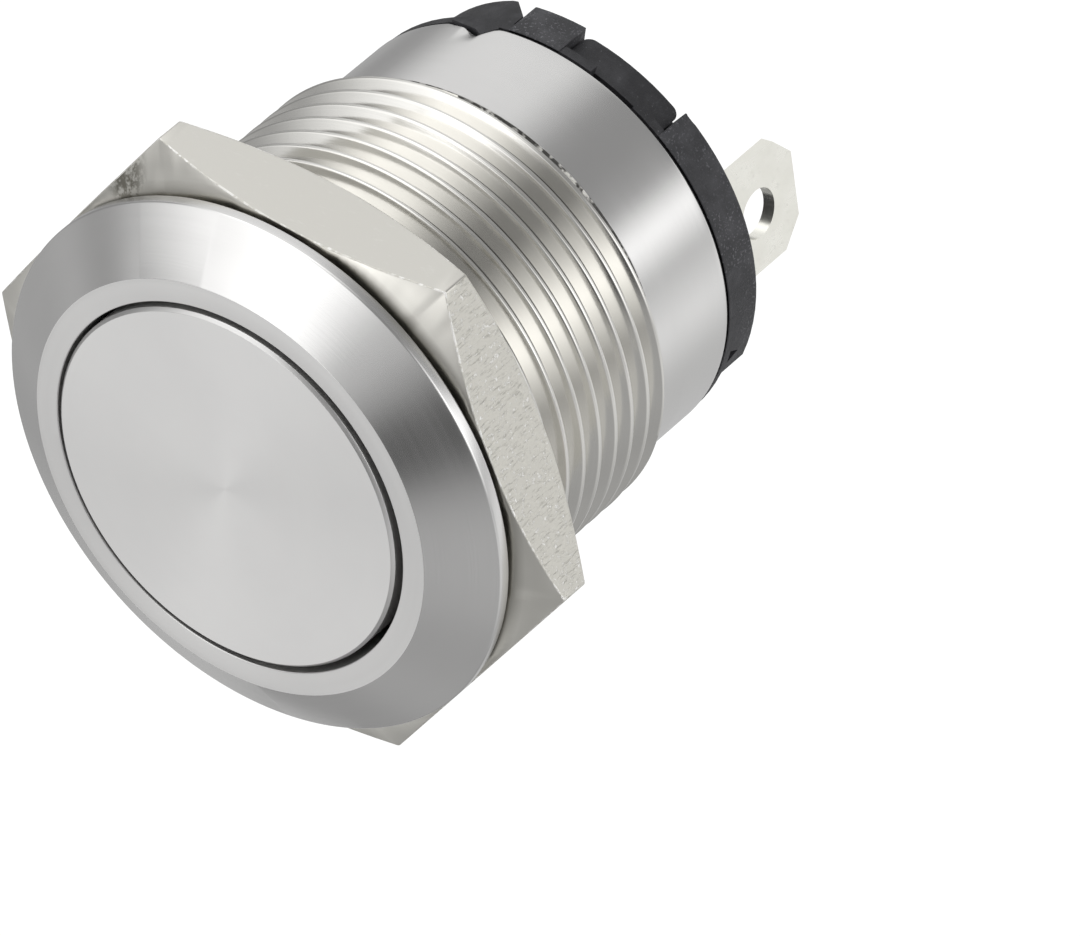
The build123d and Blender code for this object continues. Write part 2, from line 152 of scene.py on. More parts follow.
# Degrees from a corner of the nut to the closer columns there
corner_columns = (-0.9, -0.6, -0.45, -0.3, -0.15, 0, 0.15, 0.3, 0.45, 0.6, 0.9)

# The nut's worn edges: mean width, steps over the round, and how uneven the width is. The
# unevenness is a wave round the nut with a finer ripple on it.
nut_edge = 0.045
edge_steps = (0, 0.33, 0.66, 1)
edge_unevenness = 0.8
wave_scale = 9
wave_share = 0.5
ripple_scale = 2.3
ripple_share = 0.35

# Button: a turned cup that stands a little aside in its bore
button_shift = Vector((-0.08, 0.012, 0))
button_wall = 0.8
button_face = 1.1
button_bevel = 0.12
button_bevel_edge = 0.03
button_edge = 0.05
button_inner_fillet = 0.1

# Front lips of the base cover's lands, between these angles and their opposites
land_radius = 8.805
land_angles = ((-29.0, 42.2), (74.2, 88.9))
lip_front = barrel_end - 0.1
lip_rear = lip_front - 0.42
lip_depth = 0.1
lip_edge = 0.03
lip_crease = radians(30)

# Springs: wire thickness and turns
return_wire = 0.6
return_turns = 3.5
contact_wire = 0.36
contact_turns = 3

# Notches and lands come twice, half a turn apart
half_turns = (0, 180)

# Fineness of the meshes
round_columns = 180
fillet_step = radians(18)
merge_distance = 1e-4 * mm
sharp_angle = radians(50)


# Mesh helpers

def polar(radius, angle, height):
    """A point from its radius, angle in degrees and height, all in millimetres."""
    return Vector((radius * cos(radians(angle)), radius * sin(radians(angle)), height))


def even_columns():
    """Angles in degrees, evenly round the axis."""
    return [360 * i / round_columns for i in range(round_columns)]


def rounded(corners):
    """Points of an open profile with round corners.

    A corner is (radius, height, fillet, finish), where finish names the surface that follows it.
    """
    points = []
    for i, (r, z, fillet, finish) in enumerate(corners):
        if fillet == 0 or i in (0, len(corners) - 1):
            points.append((r, z, finish))
            continue
        here = Vector((r, z))
        to_before = (Vector(corners[i - 1][:2]) - here).normalized()
        to_after = (Vector(corners[i + 1][:2]) - here).normalized()
        half = acos(max(-1, min(1, to_before.dot(to_after)))) / 2
        centre = here + (to_before + to_after).normalized() * (fillet / sin(half))
        first = here + to_before * (fillet / tan(half)) - centre
        last = here + to_after * (fillet / tan(half)) - centre
        turn = pi - 2 * half
        steps = max(2, ceil(turn / fillet_step))
        for step in range(steps + 1):
            part = step / steps
            blend = (first * sin((1 - part) * turn) + last * sin(part * turn)) / sin(turn)
            point = centre + blend
            points.append((point.x, point.y, finish))
    return points


def finished_piece(name, mesh, materials, crease=sharp_angle):
    """A scene object from a mesh under construction, creased where it turns by more than crease."""
    bmesh.ops.recalc_face_normals(mesh, faces=mesh.faces)
    data = bpy.data.meshes.new(name)
    mesh.to_mesh(data)
    mesh.free()
    for material in materials:
        data.materials.append(material)
    data.set_sharp_from_angle(angle=crease)
    piece = bpy.data.objects.new(name, data)
    bpy.context.scene.collection.objects.link(piece)
    return piece


def ring_mesh(name, rings, finishes, materials, closed=True, joined=None):
    """A skin through rings of points; each finish names the material of the strip after a ring.

    A finish can also be a function that gives the name for a column.
    joined gives the ring whose first column follows a ring's last one, so that a thread's rings
    can climb by one turn.
    """
    names = list(materials)
    mesh = bmesh.new()
    verts = [[mesh.verts.new(point * mm) for point in ring] for ring in rings]
    joined = joined or (lambda k: k)
    strips = len(rings) if closed else len(rings) - 1
    columns = len(rings[0])
    for k in range(strips):
        following = (k + 1) % len(rings)
        for j in range(columns):
            if j + 1 < columns:
                corners = (verts[k][j], verts[k][j + 1], verts[following][j + 1], verts[following][j])
            else:
                next_here = verts[joined(k)][0]
                next_following = verts[joined(following)][0]
                corners = (verts[k][j], next_here, next_following, verts[following][j])
            corners = list(dict.fromkeys(corners))
            if len(corners) < 3:
                continue
            face = mesh.faces.new(corners)
            finish = finishes[k](j) if callable(finishes[k]) else finishes[k]
            face.material_index = names.index(finish)
            face.smooth = True
    bmesh.ops.remove_doubles(mesh, verts=mesh.verts, dist=merge_distance)
    bmesh.ops.dissolve_degenerate(mesh, edges=mesh.edges, dist=merge_distance)
    piece = finished_piece(name, mesh, materials.values())
    even = piece.modifiers.new("even_shading", "WEIGHTED_NORMAL")
    even.keep_sharp = True
    return piece


def skin_sections(mesh, sections):
    """Faces between closed sections of vertices in a row, with both ends capped."""
    for near, far in zip(sections, sections[1:]):
        for k in range(len(near)):
            after = (k + 1) % len(near)
            mesh.faces.new((near[k], near[after], far[after], far[k])).smooth = True
    mesh.faces.new(sections[0])
    mesh.faces.new(sections[-1])


# Node helpers

def new_group(name, inputs, outputs):
    """An empty node group; inputs and outputs map socket names to types and first values."""
    group = bpy.data.node_groups.new(name, "ShaderNodeTree")
    for label, (kind, value) in inputs.items():
        socket = group.interface.new_socket(name=label, in_out="INPUT", socket_type=kind)
        socket.default_value = value
    for label, kind in outputs.items():
        group.interface.new_socket(name=label, in_out="OUTPUT", socket_type=kind)
    return group, group.nodes.new("NodeGroupInput"), group.nodes.new("NodeGroupOutput")


def wire(tree, source, target):
    """Links one socket to another."""
    tree.links.new(source, target)


def feed(tree, value, target):
    """Sets a socket to a number, or links it where the value is a socket too."""
    if isinstance(value, (int, float)):
        target.default_value = value
    else:
        wire(tree, value, target)


def maths(tree, operation, *values):
    """The output of a Math node whose values are sockets or numbers."""
    node = tree.nodes.new("ShaderNodeMath")
    node.operation = operation
    for value, socket in zip(values, node.inputs):
        feed(tree, value, socket)
    return node.outputs[0]


def ranged(tree, value, low, high, to_low=0.0, to_high=1.0):
    """A value carried over from one range to another and held within it."""
    node = tree.nodes.new("ShaderNodeMapRange")
    for number, socket in zip((value, low, high, to_low, to_high), node.inputs):
        feed(tree, number, socket)
    return node.outputs[0]


def noise_at(tree, position, scale, detail=2.0, roughness=0.5):
    """A noise value from 0 to 1 at a position."""
    node = tree.nodes.new("ShaderNodeTexNoise")
    feed(tree, scale, node.inputs["Scale"])
    node.inputs["Detail"].default_value = detail
    node.inputs["Roughness"].default_value = roughness
    wire(tree, position, node.inputs["Vector"])
    return node.outputs["Fac"]


def stretched(tree, position, rotation, scale):
    """A position turned and scaled, for patterns that run in one direction."""
    node = tree.nodes.new("ShaderNodeMapping")
    node.inputs["Rotation"].default_value = rotation
    node.inputs["Scale"].default_value = scale
    wire(tree, position, node.inputs["Vector"])
    return node.outputs[0]


def split_vector(tree, vector):
    """The three parts of a vector."""
    node = tree.nodes.new("ShaderNodeSeparateXYZ")
    wire(tree, vector, node.inputs[0])
    return node.outputs


def join_vector(tree, *values):
    """A vector from its three parts."""
    node = tree.nodes.new("ShaderNodeCombineXYZ")
    for value, socket in zip(values, node.inputs):
        feed(tree, value, socket)
    return node.outputs[0]


# Shared effects, each a node group with its own values in every material

def make_places():
    """Millimetre coordinates: the point itself, and its radius, turn and height as a vector."""
    group, given, out = new_group(
        "places", {}, {"Point": "NodeSocketVector", "Around": "NodeSocketVector"}
    )
    group.nodes.remove(given)
    coordinates = group.nodes.new("ShaderNodeTexCoord")
    scaled = group.nodes.new("ShaderNodeVectorMath")
    scaled.operation = "SCALE"
    scaled.inputs["Scale"].default_value = 1 / mm
    wire(group, coordinates.outputs["Object"], scaled.inputs[0])
    x, y, height = split_vector(group, scaled.outputs[0])
    squares = maths(group, "MULTIPLY_ADD", y, y, maths(group, "MULTIPLY", x, x))
    radius = maths(group, "SQRT", squares)
    turn = maths(group, "ARCTAN2", y, x)
    wire(group, scaled.outputs[0], out.inputs["Point"])
    wire(group, join_vector(group, radius, turn, height), out.inputs["Around"])
    return group


places = make_places()


def placed(tree):
    """The coordinate group in a tree: its point and its radius, turn and height."""
    node = tree.nodes.new("ShaderNodeGroup")
    node.node_tree = places
    return node.outputs["Point"], node.outputs["Around"]


def make_turning_marks():
    """Fine rings left by a turning tool: a height, and a value that varies the roughness."""
    group, given, out = new_group(
        "turning_marks",
        {"Lines": ("NodeSocketFloat", 12.0), "Stretch": ("NodeSocketFloat", 1.5)},
        {"Height": "NodeSocketFloat", "Variation": "NodeSocketFloat"},
    )
    _, around = placed(group)
    radius, turn, height = split_vector(group, around)
    rings = join_vector(
        group,
        maths(group, "MULTIPLY", radius, given.outputs["Lines"]),
        maths(group, "MULTIPLY", turn, given.outputs["Stretch"]),
        maths(group, "MULTIPLY", height, given.outputs["Lines"]),
    )
    wire(group, noise_at(group, rings, scale=1.0, detail=3.0, roughness=0.6), out.inputs["Height"])
    wire(group, noise_at(group, rings, scale=0.23), out.inputs["Variation"])
    return group


def make_handling():
    """Soft smudges and a few fine straight scratches, as masks."""
    scratch_start = 0.6
    scratch_full = 0.75
    group, given, out = new_group(
        "handling",
        {"Smudge Scale": ("NodeSocketFloat", 0.5), "Scratch Scale": ("NodeSocketFloat", 3.0)},
        {"Smudge": "NodeSocketFloat", "Scratch": "NodeSocketFloat"},
    )
    point, _ = placed(group)
    smudges = noise_at(group, point, scale=given.outputs["Smudge Scale"], detail=3.0)
    wire(group, smudges, out.inputs["Smudge"])
    tilted = stretched(group, point, rotation=(0.6, 0.3, 0.9), scale=(0.06, 2.2, 1.0))
    lines = noise_at(
        group, tilted, scale=given.outputs["Scratch Scale"], detail=4.0, roughness=0.7
    )
    wire(group, ranged(group, lines, scratch_start, scratch_full), out.inputs["Scratch"])
    return group


def make_speckle():
    """Small spots that gather in clusters, and a fine grain, as masks from 0 to 1."""
    bare_threshold = 0.85
    cover_effect = 0.5
    spot_softness = 0.1
    cluster_start = 0.42
    cluster_full = 0.58
    between_clusters = 0.15
    group, given, out = new_group(
        "speckle",
        {"Scale": ("NodeSocketFloat", 9.0), "Cover": ("NodeSocketFloat", 0.3)},
        {"Spots": "NodeSocketFloat", "Grain": "NodeSocketFloat"},
    )
    point, _ = placed(group)
    fine = noise_at(group, point, scale=given.outputs["Scale"])
    covered = maths(group, "MULTIPLY", given.outputs["Cover"], cover_effect)
    threshold = maths(group, "SUBTRACT", bare_threshold, covered)
    spots = ranged(group, fine, threshold, maths(group, "ADD", threshold, spot_softness))
    coarse = noise_at(group, point, scale=0.42)
    clusters = ranged(group, coarse, cluster_start, cluster_full, to_low=between_clusters)
    wire(group, maths(group, "MULTIPLY", spots, clusters), out.inputs["Spots"])
    wire(group, noise_at(group, point, scale=22.0, detail=3.0, roughness=0.7), out.inputs["Grain"])
    return group


def make_drawn_marks():
    """Short strokes along the axis left on drawn hexagon bar, and specks for painted glints, as masks.
    """
    stroke_start = 0.5
    stroke_full = 0.72
    speck_start = 0.575
    speck_full = 0.63
    group, given, out = new_group(
        "drawn_marks",
        {"Scale": ("NodeSocketFloat", 5.0)},
        {"Strokes": "NodeSocketFloat", "Specks": "NodeSocketFloat"},
    )
    point, _ = placed(group)
    along = stretched(group, point, rotation=(0, 0.25, 0), scale=(1.0, 1.0, 0.16))
    strokes = noise_at(group, along, scale=given.outputs["Scale"], detail=3.0, roughness=0.65)
    wire(group, ranged(group, strokes, stroke_start, stroke_full), out.inputs["Strokes"])
    specks = noise_at(group, point, scale=5.0, detail=4.0, roughness=0.75)
    wire(group, ranged(group, specks, speck_start, speck_full), out.inputs["Specks"])
    return group


def make_painted_nut_shade():
    """Painted shade on the nut's front: beside the bezel's rim, and a painted dark reflection by one
    corner.
    """
    rim_dark = 0.6
    rim_fade = 0.4
    patch_turn = radians(114.5)
    patch_half = radians(6)
    patch_core = patch_half * 0.4
    grain_start = 0.4
    grain_full = 0.55
    between_grains = 0.15
    group, given, out = new_group("painted_nut_shade", {}, {"Dark": "NodeSocketFloat"})
    group.nodes.remove(given)
    point, around = placed(group)
    radius, turn, _ = split_vector(group, around)
    # Painted shade beside the rim, where the gap lies in shadow, fading outwards
    by_rim = ranged(group, radius, head_radius, head_radius + rim_fade, to_low=rim_dark, to_high=0.0)
    # A painted dark reflection in a patch by one corner, broken into grains
    off = maths(group, "ABSOLUTE", maths(group, "SUBTRACT", turn, patch_turn))
    patch = ranged(group, off, patch_core, patch_half, to_low=1.0, to_high=0.0)
    grain = noise_at(group, point, scale=3.0, detail=4.0, roughness=0.75)
    broken = ranged(group, grain, grain_start, grain_full, to_low=between_grains)
    by_corner = maths(group, "MULTIPLY", patch, broken)
    wire(group, maths(group, "MAXIMUM", by_rim, by_corner), out.inputs["Dark"])
    return group


turning_marks = make_turning_marks()
drawn_marks = make_drawn_marks()
painted_nut_shade = make_painted_nut_shade()
handling = make_handling()
speckle = make_speckle()


# Finishes

class Finish:
    """A material under construction: its tree, its shader and short ways to feed it."""

    def __init__(self, name, colour, roughness, metallic=0.0):
        self.material = bpy.data.materials.new(name)
        self.material.use_nodes = True
        self.tree = self.material.node_tree
        self.shader = self.tree.nodes["Principled BSDF"]
        self.shader.inputs["Base Color"].default_value = (*colour, 1)
        self.shader.inputs["Roughness"].default_value = roughness
        self.shader.inputs["Metallic"].default_value = metallic
        self.material.diffuse_color = (*colour, 1)

    def effect(self, group, **values):
        """Places a shared effect with this material's own values, and gives its outputs."""
        node = self.tree.nodes.new("ShaderNodeGroup")
        node.node_tree = group
        for label, value in values.items():
            node.inputs[label.replace("_", " ")].default_value = value
        return node.outputs

    def brushed_around(self, amount):
        """Spreads reflections across turning marks that run round the axis."""
        tangent = self.tree.nodes.new("ShaderNodeTangent")
        tangent.direction_type = "RADIAL"
        tangent.axis = "Z"
        wire(self.tree, tangent.outputs[0], self.shader.inputs["Tangent"])
        self.shader.inputs["Anisotropic"].default_value = amount
        self.shader.inputs["Anisotropic Rotation"].default_value = 0.25

    def colour_between(self, mask, first, second):
        """Colours the surface with the first colour, and with the second where the mask is 1."""
        mix = self.tree.nodes.new("ShaderNodeMix")
        mix.data_type = "RGBA"
        mix.inputs["A"].default_value = (*first, 1)
        mix.inputs["B"].default_value = (*second, 1)
        wire(self.tree, mask, mix.inputs["Factor"])
        wire(self.tree, mix.outputs["Result"], self.shader.inputs["Base Color"])
        return mix

    def roughness_from(self, value, low, high):
        """Varies the roughness between two limits with a value from 0 to 1."""
        roughness = ranged(self.tree, value, 0.0, 1.0, to_low=low, to_high=high)
        wire(self.tree, roughness, self.shader.inputs["Roughness"])

    def bump_from(self, height, depth_mm):
        """Raises the surface by a height value times a depth in millimetres."""
        bump = self.tree.nodes.new("ShaderNodeBump")
        bump.inputs["Strength"].default_value = 1.0
        bump.inputs["Distance"].default_value = depth_mm * mm
        wire(self.tree, height, bump.inputs["Height"])
        wire(self.tree, bump.outputs["Normal"], self.shader.inputs["Normal"])


steel = (0.74, 0.735, 0.725)
steel_dull = (0.69, 0.685, 0.68)
nickel = (0.78, 0.765, 0.715)
nickel_dull = (0.71, 0.695, 0.64)
nickel_pale = (0.9, 0.89, 0.86)
nickel_stroke = (0.44, 0.43, 0.39)
# Colour of the pale specks on the drawn flats, painted as glints
nickel_glint_speck = (0.98, 0.97, 0.94)
# Colour of the painted glints on the nut's edges
nickel_painted_glint = (0.97, 0.96, 0.93)
# Colour of the painted shade and painted dark reflection on the nut's front
painted_shade_brown = (0.13, 0.12, 0.09)
thread_bright = (0.77, 0.76, 0.73)
thread_dull = (0.73, 0.72, 0.69)


def shaded(colour, tone):
    """A colour made darker or lighter by one factor."""
    return tuple(channel * tone for channel in colour)


def turned_steel(name, roughness, brushing, lines, marks_depth, tone=1.0, unevenness=0.15):
    """Stainless steel with turning marks round the axis; a tone below 1 darkens a copy as painted
    shade.
    """
    finish = Finish(name, shaded(steel, tone), roughness, metallic=1.0)
    finish.brushed_around(brushing)
    marks = finish.effect(turning_marks, Lines=lines, Stretch=1.5)
    smudges = finish.effect(handling, Smudge_Scale=0.35, Scratch_Scale=3.0)
    finish.colour_between(smudges["Smudge"], shaded(steel, tone), shaded(steel_dull, tone))
    low, high = roughness * (1 - unevenness), roughness * (1 + unevenness)
    finish.roughness_from(marks["Variation"], low, high)
    finish.bump_from(marks["Height"], marks_depth)
    return finish.material


def thread_nickel(name, low, high, tone=1.0):
    """Rolled thread: bright, with faint rings from the die, a roughness from low to high, and a tone
    that darkens a copy as painted shade.
    """
    bright = shaded(thread_bright, tone)
    finish = Finish(name, bright, low, metallic=1.0)
    finish.brushed_around(amount=0.3)
    marks = finish.effect(turning_marks, Lines=9.0, Stretch=0.8)
    smudges = finish.effect(handling, Smudge_Scale=0.8, Scratch_Scale=4.0)
    finish.colour_between(smudges["Smudge"], bright, shaded(thread_dull, tone))
    finish.roughness_from(marks["Variation"], low, high)
    finish.bump_from(marks["Height"], depth_mm=0.001)
    return finish.material


def burr_nickel_painted_shade():
    """The thread's ragged foot: painted dark as shade, broken by bright flecks painted as glints."""
    finish = Finish("burr_nickel_painted_shade", thread_dull, roughness=0.4, metallic=1.0)
    grains = finish.effect(speckle, Scale=3.0, Cover=0.75)
    # Painted shade at the thread's foot, with bright flecks as painted glints
    dark = shaded(thread_dull, tone=0.16)
    flecks = shaded(thread_bright, tone=1.15)
    finish.colour_between(grains["Spots"], dark, flecks)
    finish.roughness_from(grains["Grain"], low=0.3, high=0.6)
    finish.bump_from(grains["Grain"], depth_mm=0.05)
    return finish.material


def smooth_nickel():
    """The nut's smooth flat and rear: soft gloss with hardly any scratches."""
    plain = shaded(nickel, tone=0.9)
    scratch_share = 0.2
    finish = Finish("nut_smooth", plain, roughness=0.4, metallic=1.0)
    smudges = finish.effect(handling, Smudge_Scale=0.6, Scratch_Scale=3.5)
    faint = maths(finish.tree, "MULTIPLY", smudges["Scratch"], scratch_share)
    finish.colour_between(faint, plain, nickel_pale)
    finish.roughness_from(smudges["Smudge"], low=0.38, high=0.46)
    finish.bump_from(smudges["Scratch"], depth_mm=0.001)
    return finish.material


def edge_nickel():
    """The nut's edges: bright grains along a duller line, painted glints that break the edge's
    highlight into dashes.
    """
    finish = Finish("nut_edge", nickel_dull, roughness=0.35, metallic=1.0)
    grains = finish.effect(speckle, Scale=3.6, Cover=0.82)
    # Painted glints on a duller line, for a dashed highlight
    finish.colour_between(grains["Spots"], nickel_dull, nickel_painted_glint)
    finish.roughness_from(grains["Grain"], low=0.2, high=0.5)
    finish.bump_from(grains["Grain"], depth_mm=0.03)
    return finish.material


def nut_front_nickel():
    """The turned front of the nut: glossier, with painted shade beside the bezel's rim and a painted
    dark reflection by one corner.
    """
    painted_shade_share = 0.8
    finish = Finish("nut_front", nickel, roughness=0.3, metallic=1.0)
    # Painted shade and a painted dark reflection, mixed into the nickel
    dark = finish.effect(painted_nut_shade)["Dark"]
    finish.colour_between(maths(finish.tree, "MULTIPLY", dark, painted_shade_share), nickel, painted_shade_brown)
    marks = finish.effect(turning_marks, Lines=7.0, Stretch=0.6)
    finish.roughness_from(marks["Variation"], low=0.24, high=0.36)
    finish.bump_from(marks["Height"], depth_mm=0.002)
    return finish.material


def drawn_nickel():
    """Nickel plate over the flats of drawn bar, with strokes along the axis and pale specks painted as
    glints.
    """
    finish = Finish("nut_drawn", nickel, roughness=0.36, metallic=1.0)
    marks = finish.effect(drawn_marks, Scale=12.0)
    under = finish.colour_between(marks["Strokes"], nickel_dull, nickel_stroke)
    # Painted glints as pale specks over the strokes
    over = finish.colour_between(marks["Specks"], nickel, nickel_glint_speck)
    wire(finish.tree, under.outputs["Result"], over.inputs["A"])
    finish.roughness_from(marks["Strokes"], low=0.32, high=0.46)
    height = maths(finish.tree, "SUBTRACT", marks["Specks"], marks["Strokes"])
    finish.bump_from(height, depth_mm=0.008)
    return finish.material


def black_moulding(name, cover, tone):
    """Glass-filled nylon: charcoal, fine grain and pale fibre ends."""
    fibre_gain = 3.2
    fibre_lift = 0.03
    scuff_start = 0.45
    scuff_full = 0.8
    scuff_share = 0.35
    finish = Finish(name, tone, roughness=0.55)
    finish.shader.inputs["Specular IOR Level"].default_value = 0.4
    grains = finish.effect(speckle, Scale=11.0, Cover=cover)
    scuffs = finish.effect(handling, Smudge_Scale=1.1, Scratch_Scale=3.0)
    pale = tuple(channel * fibre_gain + fibre_lift for channel in tone)
    scuffed = ranged(finish.tree, scuffs["Smudge"], scuff_start, scuff_full, to_high=scuff_share)
    marks = maths(finish.tree, "MULTIPLY_ADD", scuffs["Scratch"], scuff_share, scuffed)
    finish.colour_between(maths(finish.tree, "MAXIMUM", grains["Spots"], marks), tone, pale)
    finish.roughness_from(grains["Grain"], low=0.45, high=0.7)
    finish.bump_from(grains["Grain"], depth_mm=0.02)
    return finish.material


def plain_metal(name, colour, dull, roughness):
    """Small stamped or drawn metal with handling marks."""
    finish = Finish(name, colour, roughness, metallic=1.0)
    smudges = finish.effect(handling, Smudge_Scale=0.9, Scratch_Scale=4.0)
    finish.colour_between(smudges["Smudge"], colour, dull)
    finish.roughness_from(smudges["Smudge"], low=roughness * 0.8, high=roughness * 1.3)
    finish.bump_from(smudges["Scratch"], depth_mm=0.004)
    return finish.material


def soft_moulding(name, colour, roughness, depth):
    """Plain moulded plastic or rubber with a fine grain."""
    finish = Finish(name, colour, roughness)
    grains = finish.effect(speckle, Scale=6.0, Cover=0.1)
    finish.roughness_from(grains["Grain"], low=roughness * 0.85, high=roughness * 1.1)
    finish.bump_from(grains["Grain"], depth)
    return finish.material


bezel_steel = turned_steel("bezel_steel", roughness=0.24, brushing=0.75, lines=10, marks_depth=0.002)
# The ring and the button's face are darker copies of the same steel: painted shade, the ring's much
# darker
ring_steel_painted_shade = turned_steel(
    "ring_steel_painted_shade", roughness=0.34, brushing=0.6, lines=12, marks_depth=0.002, tone=0.87
)
face_steel_painted_shade = turned_steel(
    "face_steel_painted_shade",
    roughness=0.34,
    brushing=0.6,
    lines=16,
    marks_depth=0.0005,
    tone=0.96,
    unevenness=0.02,
)
barrel_steel = turned_steel("barrel_steel", roughness=0.25, brushing=0.6, lines=8, marks_depth=0.003)
bore_steel = turned_steel("bore_steel", roughness=0.4, brushing=0.4, lines=8, marks_depth=0.004)
thread_metal = thread_nickel("thread_nickel", low=0.1, high=0.2)
# The crest's copy is a touch darker as painted shade that tones down its highlight; the root's is far
# darker, painted shade between the turns
crest_metal = thread_nickel("crest_nickel", low=0.22, high=0.32, tone=0.98)
root_painted_shade = thread_nickel("root_nickel_painted_shade", low=0.3, high=0.45, tone=0.24)
burr_painted_metal = burr_nickel_painted_shade()
nut_smooth = smooth_nickel()
nut_front_metal = nut_front_nickel()
nut_drawn = drawn_nickel()
nut_edge_metal = edge_nickel()
block_black = black_moulding("block_black", cover=0.4, tone=(0.024, 0.024, 0.027))
cover_black = black_moulding("cover_black", cover=0.54, tone=(0.038, 0.038, 0.042))
terminal_plate = plain_metal(
    "terminal_plate", colour=(0.9, 0.895, 0.84), dull=(0.83, 0.82, 0.75), roughness=0.27
)
strip_brass = plain_metal(
    "strip_brass", colour=(0.72, 0.52, 0.27), dull=(0.6, 0.42, 0.2), roughness=0.3
)
contact_silver = plain_metal(
    "contact_silver", colour=(0.86, 0.85, 0.83), dull=(0.78, 0.77, 0.74), roughness=0.25
)
spring_steel = plain_metal(
    "spring_steel", colour=(0.5, 0.5, 0.5), dull=(0.42, 0.42, 0.42), roughness=0.28
)
plunger_acetal = soft_moulding(
    "plunger_acetal", colour=(0.72, 0.71, 0.68), roughness=0.4, depth=0.004
)
seal_rubber = soft_moulding("seal_rubber", colour=(0.018, 0.018, 0.018), roughness=0.5, depth=0.01)

node_finishes = {
    "contact_block": block_black,
    "base_cover": cover_black,
    "chamber_gasket": seal_rubber,
    "plunger_seal": seal_rubber,
    "plunger": plunger_acetal,
    "retaining_clip": spring_steel,
    "bridge_retainer": spring_steel,
    "contact_bridge": strip_brass,
    "terminal_a": terminal_plate,
    "terminal_b": terminal_plate,
    "fixed_contact_a": contact_silver,
    "fixed_contact_b": contact_silver,
    "bridge_contact_a": contact_silver,
    "bridge_contact_b": contact_silver,
}
for node_name, material in node_finishes.items():
    data = nodes[node_name].data
    data.materials.clear()
    data.materials.append(material)


# Housing

def thread_height(phase):
    """Radius of the thread form at a phase from -0.5 to 0.5 of a pitch off the crest's middle."""
    drop = (abs(phase) - crest_half) * thread_pitch / tan(thread_flank_angle)
    return max(barrel_radius, thread_radius - max(0, drop))


def thread_ring(columns, phase, start):
    """A ring at one phase of the thread form, which climbs from its start by a pitch a turn."""
    full = thread_height(phase) - barrel_radius
    ring = []
    for angle in columns:
        climbed = start + angle / 360 * thread_pitch
        height = max(thread_run_out, min(thread_relief, climbed))
        faded_in = min(1, (thread_relief - height) / thread_relief_fade)
        radius = barrel_radius + min(full * faded_in, height - thread_run_out)
        ring.append(polar(radius, angle, height))
    return ring


def thread_finish(phase, heights, j):
    """Crest, flank or root, the root painted dark as shade, or the ragged foot where the thread runs
    out, painted dark as shade with painted glints.
    """
    if heights[j] < burr_start:
        return "burr"
    if phase < crest_half:
        return "crest"
    return "root" if phase >= root_start else "thread"


def notch_at(angle):
    """How far the barrel's rear edge is cut back at an angle, in millimetres."""
    for turn in half_turns:
        off = radians((angle - notch_angle - turn + 180) % 360 - 180) * barrel_radius
        for start, end in zip(notch_outline, notch_outline[1:]):
            if start[0] <= off < end[0]:
                share = (off - start[0]) / (end[0] - start[0])
                return start[1] + (end[1] - start[1]) * share
    return 0


def dent_at(angle, height):
    """How far the lip beside the first notch is pushed in."""
    off = ((angle - dent_angle + 180) % 360 - 180) / dent_spread
    back = (height - barrel_end) / notch_reach
    return dent_depth * max(0, 1 - off * off) ** 2 * max(0, 1 - back) ** 2


def barrel_ring(columns, radius, height):
    """A ring of the barrel, cut back at the notches and pushed in at the dent."""
    reach = max(0, 1 - (height - barrel_end) / notch_reach)
    ring = []
    for angle in columns:
        cut = notch_at(angle) * reach
        ring.append(polar(radius - dent_at(angle, height), angle, height + cut))
    return ring


def housing_columns():
    """Even columns, with closer ones at the notches."""
    columns = set(even_columns())
    degree = 1 / radians(barrel_radius)
    for turn in half_turns:
        middle = notch_angle + turn
        for off in notch_columns:
            columns.add(round(middle + off, 3) % 360)
        for off, _ in notch_outline:
            columns.add(round(middle + off * degree, 3) % 360)
    return sorted(columns)


def housing_front():
    """The profile from the guide bore over the head to the thread's relief."""
    return rounded(
        [
            (guide_radius, web_front, 0, "bore"),
            (front_bore_radius, web_front, 0, "bore"),
            (front_bore_radius, head_height, ring_inner_edge, "ring"),
            (ring_radius, head_height, ring_outer_edge, "bezel"),
            (head_radius, rim_height, rim_front_edge, "bezel"),
            (head_radius, 0, rim_rear_edge, "bore"),
            (barrel_radius, 0, neck_fillet, "bore"),
            (barrel_radius, thread_relief, 0, "thread"),
        ]
    )


def housing_rear():
    """The profile from the thread's foot over the barrel's rear edge to the guide bore."""
    return rounded(
        [
            (barrel_radius, thread_run_out, 0, "barrel"),
            (barrel_radius, thread_run_out - thread_foot, 0, "barrel"),
            *((barrel_radius, barrel_end + notch_reach * share, 0, "barrel") for share in rear_shares),
            (barrel_radius, barrel_end, barrel_outer_edge, "barrel"),
            (rear_bore_radius, barrel_end, barrel_inner_edge, "bore"),
            (rear_bore_radius, barrel_end + notch_reach, 0, "bore"),
            (rear_bore_radius, web_rear, web_edge, "bore"),
            (guide_radius, web_rear, web_edge, "bore"),
        ]
    )


